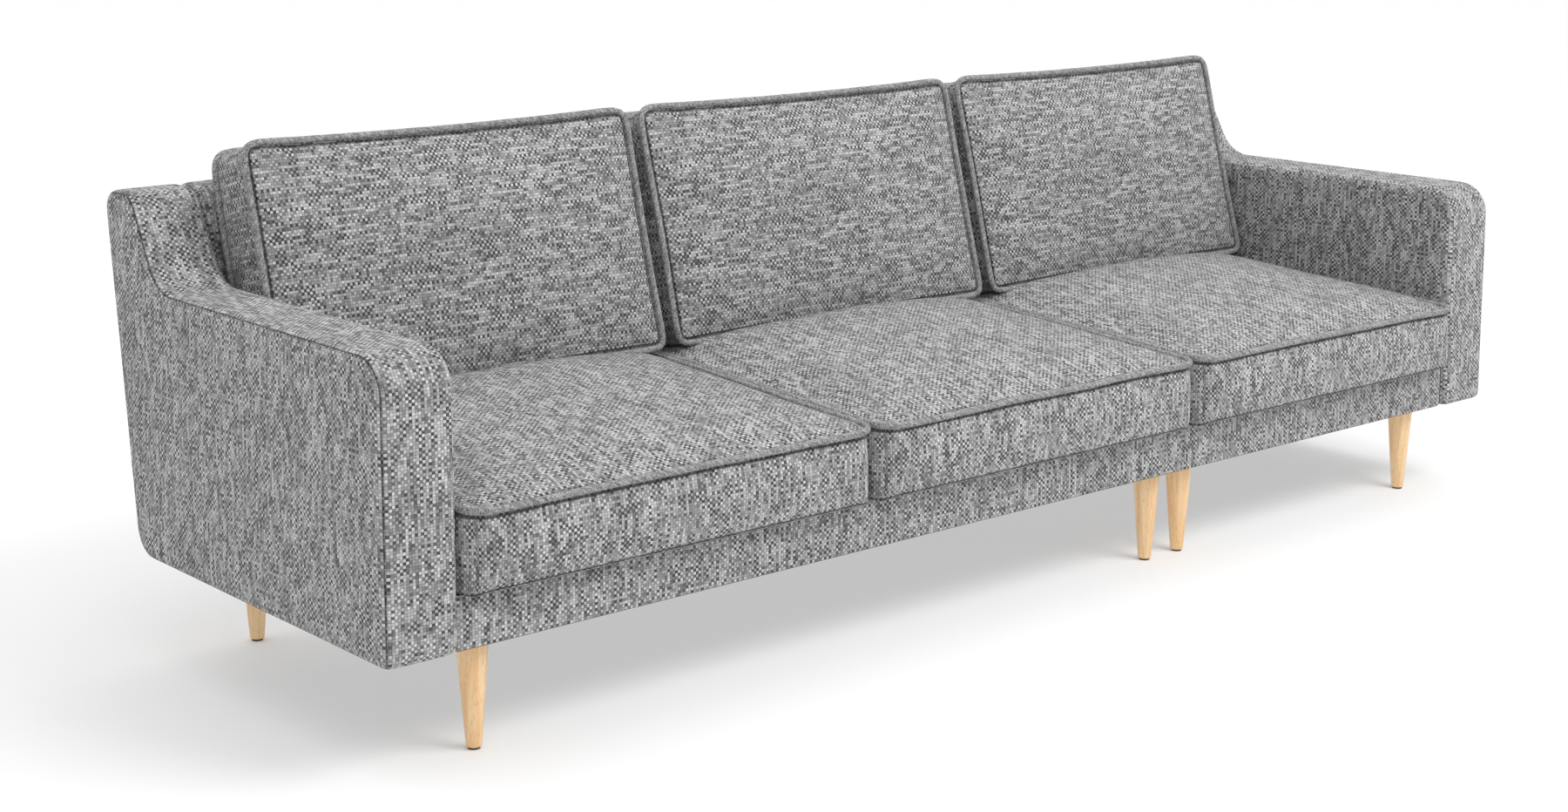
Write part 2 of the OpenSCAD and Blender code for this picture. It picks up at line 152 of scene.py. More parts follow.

    # Sewn lines: where a seam lies, the colour is darkened along it as painted shade, and the bump below dips there
    # as real relief
    seam = addNode(tree, "Attribute", out="Fac", attribute_name="seamAndShadeDistance")
    seam = addNode(tree, "Math", [seam], operation="ABSOLUTE")
    paintedSeamShade = addNode(tree, "MapRange", [seam, 0.0010, 0.0045, 0.24, 1.0], interpolation_type="SMOOTHSTEP")
    tone = addNode(tree, "Math", [fibreTone, cloudTone], operation="MULTIPLY")
    tone = addNode(tree, "Math", [tone, paintedSeamShade], operation="MULTIPLY")
    grey = addNode(tree, "CombineColor", [tone, tone, tone])
    colour = addNode(tree, "Mix", [1.0, yarn, grey], data_type="RGBA", blend_type="MULTIPLY")

    dip = addNode(tree, "MapRange", [seam, 0.0, 0.003, -1.4, 0.0], interpolation_type="SMOOTHSTEP")
    height = addNode(tree, "Math", [hump, 0.8, dip], operation="MULTIPLY_ADD")
    height = addNode(tree, "Math", [fibres, 0.25, height], operation="MULTIPLY_ADD")
    bump = addNode(tree, "Bump", {"Height": height, "Strength": 0.5, "Distance": s["relief"]})
    rough = addNode(tree, "MapRange", [fibres, 0.2, 0.8, s["roughness"] - 0.05, s["roughness"] + 0.05])
    shader = addNode(tree, "BsdfPrincipled", {"Base Color": colour, "Roughness": rough, "Normal": bump,
                     "Sheen Weight": 0.12, "Sheen Roughness": 0.5, "Specular IOR Level": 0.25})
    addNode(tree, "OutputMaterial", [shader])
    return material


upholstery = wovenFabric("chenilleBasketWeave", weave)


def turnedBeech():
    # Beech, turned on a lathe and satin lacquered: pale, with short dark flecks along the grain
    material, tree = newMaterial("satinBeech")
    coords = addNode(tree, "TexCoord", out="Object")
    ringPlace = addNode(tree, "Mapping", {"Vector": coords, "Scale": (95.0, 60.0, 3.2)})
    grain = addNode(tree, "TexNoise", {"Vector": ringPlace, "Scale": 1.0, "Detail": 4.0, "Roughness": 0.6,
                    "Distortion": 0.6})
    fleckPlace = addNode(tree, "Mapping", {"Vector": coords, "Scale": (900.0, 900.0, 60.0)})
    flecks = addNode(tree, "TexNoise", {"Vector": fleckPlace, "Scale": 1.0, "Detail": 1.0})
    grainShare = addNode(tree, "MapRange", [grain, 0.30, 0.72], interpolation_type="SMOOTHSTEP")
    fleckShare = addNode(tree, "MapRange", [flecks, 0.60, 0.72, 0.0, 0.45], interpolation_type="SMOOTHSTEP")
    colour = addNode(tree, "Mix", [grainShare, linearColour("#F4D5A8"), linearColour("#E6B67E")], data_type="RGBA")
    colour = addNode(tree, "Mix", [fleckShare, colour, linearColour("#A9713D")], data_type="RGBA")
    bump = addNode(tree, "Bump", {"Height": flecks, "Strength": 0.12, "Distance": 0.0003})
    rough = addNode(tree, "MapRange", [grain, 0.3, 0.7, 0.34, 0.46])
    shader = addNode(tree, "BsdfPrincipled", {"Base Color": colour, "Roughness": rough, "Normal": bump,
                     "Coat Weight": 0.25, "Coat Roughness": 0.25})
    addNode(tree, "OutputMaterial", [shader])
    return material


def noiseFinish(name, first, second, stretch, lowRough, highRough, relief, metal=0.0):
    material, tree = newMaterial(name)
    coords = addNode(tree, "TexCoord", out="Object")
    mapped = addNode(tree, "Mapping", {"Vector": coords, "Scale": stretch})
    pattern = addNode(tree, "TexNoise", {"Vector": mapped, "Scale": 1.0, "Detail": 4.0, "Roughness": 0.6})
    share = addNode(tree, "MapRange", [pattern, 0.3, 0.7], interpolation_type="SMOOTHSTEP")
    colour = addNode(tree, "Mix", [share, linearColour(first), linearColour(second)], data_type="RGBA")
    bump = addNode(tree, "Bump", {"Height": pattern, "Strength": 0.4, "Distance": relief})
    rough = addNode(tree, "MapRange", [pattern, 0.3, 0.7, lowRough, highRough])
    shader = addNode(tree, "BsdfPrincipled", {"Base Color": colour, "Roughness": rough, "Normal": bump,
                     "Metallic": metal})
    addNode(tree, "OutputMaterial", [shader])
    return material


cadFinishes = {
    "legWood": (turnedBeech(), ("_leg_",)),
    # Sawn pine: dull, with wide grain along the board
    "pine": (noiseFinish("sawnPine", "#D9B88A", "#B98F5C", (6.0, 90.0, 90.0), 0.7, 0.9, 0.0004),
             ("rail", "blocks", "frame_l", "frame_r")),
    # Cut polyurethane foam: open, fine cells
    "foam": (noiseFinish("cutFoam", "#EFE3BE", "#DCCB9B", (700.0, 700.0, 700.0), 0.9, 1.0, 0.0006),
             ("foam", "core")),
    # Elastic webbing: ribbed rubber and polyester
    "webbing": (noiseFinish("elasticWebbing", "#2B2B2E", "#17171A", (400.0, 400.0, 900.0), 0.75, 0.9, 0.0005),
                ("webbing",)),
    # Spun-bonded polypropylene: black felt-like lining
    "lining": (noiseFinish("spunBondedLining", "#26262A", "#141416", (350.0, 350.0, 350.0), 0.85, 0.98, 0.0005),
               ("cloth", "dust")),
    # Zinc-plated steel: grey-blue, faintly clouded
    "zinc": (noiseFinish("zincPlatedSteel", "#B9BDC2", "#9A9EA5", (120.0, 120.0, 120.0), 0.28, 0.42, 0.0001, 1.0),
             ("bolts", "inserts", "pins", "sockets")),
    # Moulded nylon: dark brown glide
    "nylon": (noiseFinish("mouldedNylon", "#33261D", "#241A13", (300.0, 300.0, 300.0), 0.45, 0.6, 0.0002),
              ("glides",)),
}
for material, marks in cadFinishes.values():
    for name, node in cadNodes.items():
        if any(mark in name for mark in marks):
            node.data.materials.clear()
            node.data.materials.append(material)
print("materials ready")


def deselectAll():
    if bpy.context.object and bpy.context.object.mode != "OBJECT":
        bpy.ops.object.mode_set(mode="OBJECT")
    bpy.ops.object.select_all(action="DESELECT")


def makeActive(piece):
    deselectAll()
    piece.select_set(True)
    bpy.context.view_layer.objects.active = piece


def pick(piece, kind, test):
    # Opens the piece for editing with only what passes the test selected
    if bpy.context.object != piece or piece.mode != "EDIT":
        makeActive(piece)
        bpy.ops.object.mode_set(mode="EDIT")
    bpy.ops.mesh.select_mode(type=kind)
    bpy.ops.mesh.select_all(action="DESELECT")
    mesh = bmesh.from_edit_mesh(piece.data)
    parts = {"VERT": mesh.verts, "EDGE": mesh.edges, "FACE": mesh.faces}[kind]
    chosen = [part for part in parts if test(part)]
    for part in chosen:
        part.select_set(True)
    mesh.select_flush_mode()
    bmesh.update_edit_mesh(piece.data)
    return len(chosen)


def addBlock(name, low, high):
    deselectAll()
    bpy.ops.mesh.primitive_cube_add(size=1, location=[(a + b) / 2 for a, b in zip(low, high)])
    piece = bpy.context.object
    piece.name = name
    piece.scale = [b - a for a, b in zip(low, high)]
    bpy.ops.object.transform_apply(location=True, rotation=True, scale=True)
    return piece


def applyModifier(piece, kind, **settings):
    makeActive(piece)
    modifier = piece.modifiers.new("step", kind)
    for name, value in settings.items():
        setattr(modifier, name, value)
    bpy.ops.object.modifier_apply(modifier=modifier.name)


def near(a, b, reach=0.0005):
    return abs(a - b) < reach


def alongX(edge):
    a, b = (v.co for v in edge.verts)
    return near(a.y, b.y) and near(a.z, b.z)


def edgeAt(edge, y, z):
    return alongX(edge) and near(edge.verts[0].co.y, y) and near(edge.verts[0].co.z, z)


def readPoints(piece):
    points = np.empty(len(piece.data.vertices) * 3)
    piece.data.vertices.foreach_get("co", points)
    return points.reshape(-1, 3)


def writePoints(piece, points):
    piece.data.vertices.foreach_set("co", points.ravel())
    piece.data.update()


def writeField(piece, name, values):
    field = piece.data.attributes.get(name) or piece.data.attributes.new(name, "FLOAT", "POINT")
    field.data.foreach_set("value", np.asarray(values, np.float32))


def outlineMeasures(points, outline):
    # For each point (y, z): its distance to the outline and the length along the outline to the nearest place
    start, end = outline, np.roll(outline, -1, axis=0)
    span = end - start
    lengths = np.hypot(*span.T)
    before = np.concatenate([[0], np.cumsum(lengths)[:-1]])
    best, where = np.full(len(points), 9.0), np.zeros(len(points))
    for a, s, length, base in zip(start, span, lengths, before):
        if length < 1e-9:
            continue
        t = np.clip(((points - a) @ s) / length ** 2, 0, 1)
        d = np.hypot(*(points - a - t[:, None] * s).T)
        closer = d < best
        best[closer], where[closer] = d[closer], (base + t * length)[closer]
    return best, where


def writeUv(piece, perLoop):
    layer = piece.data.uv_layers.get("weaveMap") or piece.data.uv_layers.new(name="weaveMap")
    layer.data.foreach_set("uv", np.asarray(perLoop, np.float32).ravel())
    piece.data.uv_layers.active = layer
    layer.active_render = True


def faceNormals(piece):
    normals = np.empty(len(piece.data.polygons) * 3)
    piece.data.polygons.foreach_get("normal", normals)
    normals = normals.reshape(-1, 3)
    owners = np.repeat(np.arange(len(normals)), [p.loop_total for p in piece.data.polygons])
    vertexOfLoop = np.empty(len(piece.data.loops), int)
    piece.data.loops.foreach_get("vertex_index", vertexOfLoop)
    return normals, owners, vertexOfLoop


def ripple(points, scale, seed):
    return np.array([noise.noise(Vector(p) * scale + Vector((seed, seed * 0.7, 0))) for p in points])


def finishFabric(piece, body, replaced):
    piece.data.materials.clear()
    piece.data.materials.append(upholstery)
    makeActive(piece)
    bpy.ops.object.shade_smooth()
    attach(piece, body)
    if replaced:
        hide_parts(*replaced)


# Arms: a slab with a rounded nose and a riser that stands up to the back's height
armShape = {
    "front": -0.41603, "rearFoot": 0.36797, "rearTop": 0.44828, "riserFoot": 0.26828, "riserTop": 0.35143,
    "foot": 0.176, "top": 0.636, "riserHeight": 0.786, "rakeAtTop": 0.42853,
    # Each corner's radius, the degrees it turns through, and its steps
    "corners": {
        "frontFoot": (0.014, 90, 4), "rearFoot": (0.040, 97.5, 8), "rearTop": (0.042, 82.5, 8),
        "riserTop": (0.040, 61, 8), "hollow": (0.075, 61, 10), "nose": (0.062, 90, 10),
    },
    "softEdge": 0.013, "crown": 0.0035, "voxel": 0.0065, "waviness": 0.0012,
}


def bevelCorner(piece, y, z, radius, turn, steps):
    pick(piece, "EDGE", lambda e: edgeAt(e, y, z))
    bpy.ops.mesh.bevel(offset=radius * math.tan(math.radians(turn) / 2), segments=steps, affect="EDGES")


def softBlock(piece, shape, side, sideX):
    # Rounds the two side outlines, makes an even skin and marks the outer seam
    bpy.ops.object.mode_set(mode="OBJECT")
    flat = max((p for p in piece.data.polygons if p.normal.x * side > 0.9), key=lambda p: p.area)
    outline = np.array([piece.data.vertices[i].co[1:] for i in flat.vertices])
    pick(piece, "EDGE", lambda e: len(e.link_faces) == 2 and sum(abs(f.normal.x) > 0.9 for f in e.link_faces) == 1)
    bpy.ops.mesh.bevel(offset=shape["softEdge"], segments=5, affect="EDGES")
    bpy.ops.object.mode_set(mode="OBJECT")
    applyModifier(piece, "REMESH", mode="VOXEL", voxel_size=shape["voxel"], use_smooth_shade=True)
    applyModifier(piece, "SMOOTH", factor=0.5, iterations=4)
    points = readPoints(piece)
    inward, length = outlineMeasures(points[:, 1:], outline)
    beside = np.abs(points[:, 0] - sideX)
    # Counted 1.6 times, so that a plain seam is drawn finer than the line beside a piping
    # Along this seam the fabric colour is darkened: painted shade in the sewn line
    writeField(piece, "seamAndShadeDistance", np.where(beside > 0.04, -0.04, 1.6 * (inward - beside)))
    return points, inward, length


def upholsteredUv(piece, points, length):
    normals, owners, vertexOfLoop = faceNormals(piece)
    p = points[vertexOfLoop]
    flatSide = np.abs(normals[owners, 0]) > 0.72
    uv = np.where(flatSide[:, None], p[:, [1, 2]], np.stack([p[:, 0], length[vertexOfLoop]], 1))
    # Where the strip's length starts again, the face keeps one end's count
    top = length.max()
    perFaceMax = np.zeros(len(normals))
    np.maximum.at(perFaceMax, owners, length[vertexOfLoop])
    wrapped = (~flatSide) & (perFaceMax[owners] > 0.8 * top) & (length[vertexOfLoop] < 0.2 * top)
    uv[wrapped, 1] += top
    writeUv(piece, uv)


def makeArm(hand):
    s = armShape
    side = -1 if hand == "left" else 1
    low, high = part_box("arm_cover_" + hand)
    outerX = low.x if side < 0 else high.x
    piece = addBlock("armUpholstery." + hand, (low.x, s["front"], s["foot"]), (high.x, s["rearFoot"], s["top"]))
    pick(piece, "FACE", lambda f: True)
    bpy.ops.mesh.bisect(plane_co=(0, s["riserFoot"], 0), plane_no=(0, 1, 0))
    pick(piece, "FACE", lambda f: f.normal.z > 0.9 and f.calc_center_median().y > s["riserFoot"])
    bpy.ops.mesh.extrude_region_move(TRANSFORM_OT_translate={"value": (0, 0, s["riserHeight"] - s["top"])})
    for z, y, newY in (
            (s["top"], s["rearFoot"], s["rakeAtTop"]),
            (s["riserHeight"], s["rearFoot"], s["rearTop"]),
            (s["riserHeight"], s["riserFoot"], s["riserTop"])):
        pick(piece, "VERT", lambda v: near(v.co.z, z) and near(v.co.y, y))
        bpy.ops.transform.translate(value=(0, newY - y, 0))
    pick(piece, "FACE", lambda f: True)
    bpy.ops.mesh.dissolve_limited(angle_limit=0.01)
    c = s["corners"]
    bevelCorner(piece, s["riserFoot"], s["top"], *c["hollow"])
    bevelCorner(piece, s["front"], s["top"], *c["nose"])
    bevelCorner(piece, s["rearTop"], s["riserHeight"], *c["rearTop"])
    bevelCorner(piece, s["riserTop"], s["riserHeight"], *c["riserTop"])
    bevelCorner(piece, s["rearFoot"], s["foot"], *c["rearFoot"])
    bevelCorner(piece, s["front"], s["foot"], *c["frontFoot"])
    points, inward, length = softBlock(piece, s, side, outerX)
    middle = (low.x + high.x) / 2
    half = (high.x - low.x) / 2
    onSide = np.clip((np.abs(points[:, 0] - middle) / half - 0.7) / 0.3, 0, 1)
    crown = s["crown"] * (np.clip(inward / 0.10, 0, 1) ** 0.5 - 1.0) * onSide
    waves = s["waviness"] * ripple(points, 5.0, 3 + side) * onSide
    points[:, 0] += np.sign(points[:, 0] - middle) * (crown + waves)
    writePoints(piece, points)
    upholsteredUv(piece, points, length)
    finishFabric(piece, hand + "_module", ["arm_cover_" + hand, "arm_foam_" + hand])


for hand in ("left", "right"):
    makeArm(hand)
print("arms ready")


# Bases: the sprung box under the seat, covered and stapled underneath
baseShape = {"lowSoft": 0.004, "seamSoft": 0.007, "rearRake": 7.5, "hem": 0.016, "recess": 0.0022}


def makeBase(hand):
    s = baseShape
    low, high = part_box("base_cover_" + hand)
    piece = addBlock("baseUpholstery." + hand, low, high)
    pick(piece, "VERT", lambda v: near(v.co.y, high.y) and near(v.co.z, low.z))
    bpy.ops.transform.translate(value=(0, -(high.z - low.z) * math.tan(math.radians(s["rearRake"])), 0))
    pick(piece, "FACE", lambda f: f.normal.z < -0.9)
    bpy.ops.mesh.inset(thickness=s["hem"])
    bpy.ops.transform.translate(value=(0, 0, s["recess"]))
    pick(piece, "EDGE", lambda e: all(near(v.co.z, low.z) for v in e.verts)
         and len(e.link_faces) == 2 and any(abs(f.normal.z) < 0.5 for f in e.link_faces))
    bpy.ops.mesh.bevel(offset=s["lowSoft"], segments=4, affect="EDGES")
    seamX = high.x if hand == "left" else low.x
    pick(piece, "EDGE", lambda e: all(near(v.co.x, seamX) and v.co.z > low.z + 0.0075 for v in e.verts)
         and near(e.verts[0].co.y, e.verts[1].co.y, 0.002))
    bpy.ops.mesh.bevel(offset=s["seamSoft"], segments=4, affect="EDGES")
    bpy.ops.object.mode_set(mode="OBJECT")
    points = readPoints(piece)
    normals, owners, vertexOfLoop = faceNormals(piece)
    p = points[vertexOfLoop]
    n = normals[owners]
    uv = p[:, [0, 2]].copy()
    flat = np.abs(n[:, 2]) > 0.75
    uv[flat] = p[flat][:, [0, 1]]
    ends = np.abs(n[:, 0]) > 0.75
    uv[ends] = p[ends][:, [1, 2]]
    writeUv(piece, uv)
    writeField(piece, "seamAndShadeDistance", np.full(len(points), 1.0))
    finishFabric(piece, hand + "_module", ["base_cover_" + hand])
    makeActive(piece)
    bpy.ops.object.shade_smooth_by_angle(angle=math.radians(35))


for hand in ("left", "right"):
    makeBase(hand)
print("bases ready")


# Backs: a leaning padded wall between the arms and the module seam
backShape = {
    "softEdge": 0.012, "voxel": 0.0065, "roll": 0.030,
    "rearFootY": 0.37931, "rearTopY": 0.44828, "restLean": 15.5,
    "rearTurn": 82.5, "topWave": 0.0022, "rearWave": 0.0010,
}


def makeBack(hand):
    s = backShape
    side = -1 if hand == "left" else 1
    low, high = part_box("back_cover_" + hand)
    armX = low.x if side < 0 else high.x
    frontTop = low.y + (high.z - low.z) * math.tan(math.radians(s["restLean"]))
    piece = addBlock("backUpholstery." + hand, low, (high.x, s["rearFootY"], high.z))
    for y, newY in ((low.y, frontTop), (s["rearFootY"], s["rearTopY"])):
        pick(piece, "VERT", lambda v: near(v.co.z, high.z) and near(v.co.y, y))
        bpy.ops.transform.translate(value=(0, newY - y, 0))
    bevelCorner(piece, frontTop, high.z, s["roll"], 90 - s["restLean"], 8)
    bevelCorner(piece, s["rearTopY"], high.z, s["roll"], s["rearTurn"], 8)
    points, _, length = softBlock(piece, s, side, armX)
    topness = np.clip((points[:, 2] - 0.72) / 0.06, 0, 1)
    points[:, 2] += topness * s["topWave"] * ripple(points * (1, 0, 0), 7.0, 5 + side)
    rearness = np.clip((points[:, 1] - 0.33) / 0.05, 0, 1)
    points[:, 1] += rearness * s["rearWave"] * ripple(points, 4.0, 6 + side)
    writePoints(piece, points)
    upholsteredUv(piece, points, length)
    writeField(piece, "seamAndShadeDistance", np.full(len(points), 1.0))
    finishFabric(piece, hand + "_module", ["back_cover_" + hand, "back_foam_" + hand])


for hand in ("left", "right"):
    makeBack(hand)
print("backs ready")


def gradedSteps(length, count, edge, growth=1.35):
    # Steps from 0 to length that are fine at both ends and even in the middle
    steps, step = [], edge
    pitch = length / count
    while step < pitch:
        steps.append(step)
        step *= growth
    middle = length - 2 * sum(steps)
    inner = max(1, round(middle / pitch))
    widths = steps + [middle / inner] * inner + steps[::-1]
    return np.concatenate([[0], np.cumsum(widths)])


def stepsFor(sizes, cell, edge=0.004):
    return [gradedSteps(size, round(size / cell), edge) for size in sizes]


def gridBlock(name, steps):
    # A block cut into even strips along each axis, then graded to the given steps
    piece = addBlock(name, (0, 0, 0), (1, 1, 1))
    for axis in range(3):
        pick(piece, "EDGE", lambda e: abs(e.verts[0].co[axis] - e.verts[1].co[axis]) > 0.5)
        bpy.ops.mesh.subdivide(number_cuts=len(steps[axis]) - 2, quadcorner="STRAIGHT_CUT")
    bpy.ops.object.mode_set(mode="OBJECT")
    points = readPoints(piece)
    index = np.stack([np.rint(points[:, k] * (len(steps[k]) - 1)).astype(int) for k in range(3)], 1)
    graded = np.stack([steps[k][index[:, k]] for k in range(3)], 1)
    writePoints(piece, graded)
    return piece, graded, index


def roundPlan(x, y, width, depth, radii):
    # Rounds the four upright corners of a width by depth plan, counted round from the corner at x 0, y 0
    x, y = x.copy(), y.copy()
    for (sx, sy), r in zip(((0, 0), (1, 0), (1, 1), (0, 1)), radii):
        a = np.clip(((x - (width - r)) if sx else (r - x)) / r, 0, 1)
        b = np.clip(((y - (depth - r)) if sy else (r - y)) / r, 0, 1)
        inside = (a > 0) & (b > 0)
        # A square corner mapped to the disc keeps its sides, so only the far corner draws in
        k = 1 - (1 - math.sqrt(0.5)) * np.minimum(a, b) ** 2
        x = np.where(inside, width - r + a * k * r if sx else r - a * k * r, x)
        y = np.where(inside, depth - r + b * k * r if sy else r - b * k * r, y)
    return x, y


def cushionUv(piece, flatPoints, warpAlong):
    # Each panel takes its own flat cut, with the warp along the given axis where it lies in the panel
    normals, owners, vertexOfLoop = faceNormals(piece)
    axis = np.abs(normals).argmax(1)[owners]
    p = flatPoints[vertexOfLoop]
    uv = np.zeros((len(p), 2))
    for k in range(3):
        others = [i for i in range(3) if i != k]
        v = warpAlong[k]
        u = [i for i in others if i != v][0]
        chosen = axis == k
        uv[chosen] = p[chosen][:, [u, v]] + 0.137 * k
    writeUv(piece, uv)


# Cloth: firm upholstery weave, blown out a little by the filling; cap is the furthest a point may go, in metres
clothRun = {
    "frames": 14, "pressure": 3.0, "cap": 0.016, "quality": 4, "mass": 0.35,
    "tension": 12, "shear": 4, "bending": 0.6, "pinHold": 0.6,
}


def inflate(piece, pinWeights, settings):
    # Runs cloth on the piece from inside, then limits how far each point may move
    before = readPoints(piece)
    group = piece.vertex_groups.new(name="held")
    for level in sorted(set(np.round(pinWeights, 2))):
        members = np.nonzero(np.round(pinWeights, 2) == level)[0]
        group.add([int(i) for i in members], float(level), "REPLACE")
    makeActive(piece)
    cloth = piece.modifiers.new("Cloth", "CLOTH")
    s = cloth.settings
    s.quality = settings["quality"]
    s.mass = settings["mass"]
    s.tension_stiffness = s.compression_stiffness = settings["tension"]
    s.shear_stiffness = settings["shear"]
    s.bending_stiffness = settings["bending"]
    s.use_pressure = True
    s.uniform_pressure_force = settings["pressure"]
    s.vertex_group_mass = "held"
    s.pin_stiffness = settings["pinHold"]
    s.effector_weights.gravity = 0
    cloth.collision_settings.use_collision = False
    cloth.point_cache.frame_start = 1
    cloth.point_cache.frame_end = settings["frames"]
    for number in range(1, settings["frames"] + 1):
        scene.frame_set(number)
    bpy.ops.object.modifier_apply(modifier=cloth.name)
    scene.frame_set(1)
    piece.vertex_groups.clear()
    moved = readPoints(piece) - before
    size = np.linalg.norm(moved, axis=1, keepdims=True)
    moved *= settings["cap"] * np.tanh(size / settings["cap"]) / np.maximum(size, 1e-9)
    return before + moved


def atEnds(index, spans, axis):
    return (index[:, axis] == 0) | (index[:, axis] == spans[axis])


def edgeOutward(line, halves, axes):
    # For places round a panel's edge: the way out of the panel, square to the edge
    fromMiddle = line - line.mean(0)
    outward = np.zeros_like(line)
    for half, axis in zip(halves, axes):
        along = fromMiddle @ np.asarray(axis, float)
        outward += np.outer(np.sign(along) * (np.abs(along) > half - 0.02), axis)
    return outward / np.maximum(np.linalg.norm(outward, axis=1, keepdims=True), 1e-9)


def loopOf(index, axis, level, spans):
    # The ring of points at one level of an axis that lie on the outside, in order round it
    a, b = [k for k in range(3) if k != axis]
    ring = {}
    for i in np.nonzero(index[:, axis] == level)[0]:
        ring[(int(index[i, a]), int(index[i, b]))] = int(i)
    na, nb = spans[a], spans[b]
    order = [(k, 0) for k in range(na)] + [(na, k) for k in range(nb)]
    order += [(k, nb) for k in range(na, 0, -1)] + [(0, k) for k in range(nb, 0, -1)]
    return [ring[key] for key in order]


# Piping: ring pitch in metres, ten sides, and a cord that swells and thins a little
pipingShape = {"pitch": 0.007, "sides": 10, "unevenness": 0.06, "weaveScale": 2.0}


def addPiping(name, places, radius):
    # Self-piping: a round cord covered in the same cloth, along a closed line
    s = pipingShape
    sides = s["sides"]
    for _ in range(3):
        places = (np.roll(places, 1, 0) + 2 * places + np.roll(places, -1, 0)) / 4
    step = np.linalg.norm(np.roll(places, -1, 0) - places, axis=1)
    length = np.concatenate([[0], np.cumsum(step)])
    count = int(length[-1] / s["pitch"])
    closed = np.vstack([places, places[:1]])
    marks = np.linspace(0, length[-1], count + 1)[:-1]
    line = np.stack([np.interp(marks, length, closed[:, k]) for k in range(3)], 1)
    tangent = np.roll(line, -1, 0) - np.roll(line, 1, 0)
    tangent /= np.linalg.norm(tangent, axis=1, keepdims=True)
    centre = line.mean(0)
    planeNormal = np.linalg.svd(line - centre)[2][2]
    outward = np.cross(tangent, planeNormal)
    outward /= np.linalg.norm(outward, axis=1, keepdims=True)
    mesh = bpy.data.meshes.new(name)
    maker = bmesh.new()
    rings = []
    for i in range(count):
        r = radius * (1 + s["unevenness"] * noise.noise(Vector(line[i]) * 60))
        ring = []
        for k in range(sides):
            turn = 2 * math.pi * k / sides
            ring.append(maker.verts.new(line[i] + r * (math.cos(turn) * outward[i] + math.sin(turn) * planeNormal)))
        rings.append(ring)
    layer = maker.loops.layers.uv.new("weaveMap")
    for i in range(count):
        nextRing = rings[(i + 1) % count]
        for k in range(sides):
            m = (k + 1) % sides
            face = maker.faces.new((rings[i][k], rings[i][m], nextRing[m], nextRing[k]))
            across = [k, k + 1, k + 1, k]
            along = [marks[i], marks[i], marks[i] + s["pitch"], marks[i] + s["pitch"]]
            for loop, c, a in zip(face.loops, across, along):
                u = c * 2 * math.pi * radius / sides
                # Cut on the bias, and the weave closes up round the cord
                loop[layer].uv = (s["weaveScale"] * (a + u), s["weaveScale"] * (a - u))
    bmesh.ops.recalc_face_normals(maker, faces=maker.faces)
    maker.to_mesh(mesh)
    maker.free()
    piece = bpy.data.objects.new(name, mesh)
    scene.collection.objects.link(piece)
    writeField(piece, "seamAndShadeDistance", np.full(len(mesh.vertices), 1.0))
    return piece


# Seat cushions: boxed, piped round the top, with a rolled lower front edge
seatShape = {
    "front": -0.44403, "back": 0.2037, "foot": 0.2630, "edge": 0.388, "rearEdge": 0.418, "crown": 0.030,
    "frontRadius": 0.050, "rearRadius": 0.028, "rollRadius": 0.018, "rollPull": 0.30, "bulge": 0.007,
    "frontInset": 0.006, "sideGap": 0.0025, "edgeGap": 0.0006, "cell": 0.0135, "waviness": 0.0022,
    # The piping's radius, and how far it lies out from the edge and above it; where the two seams are sewn, and
    # where their dark lines of painted shade are drawn
    "piping": 0.0058, "pipingOut": 0.0028, "pipingUp": 0.0022, "topSeam": 0.0068, "lowSeam": 0.001,
    "fill": 0.75,
}


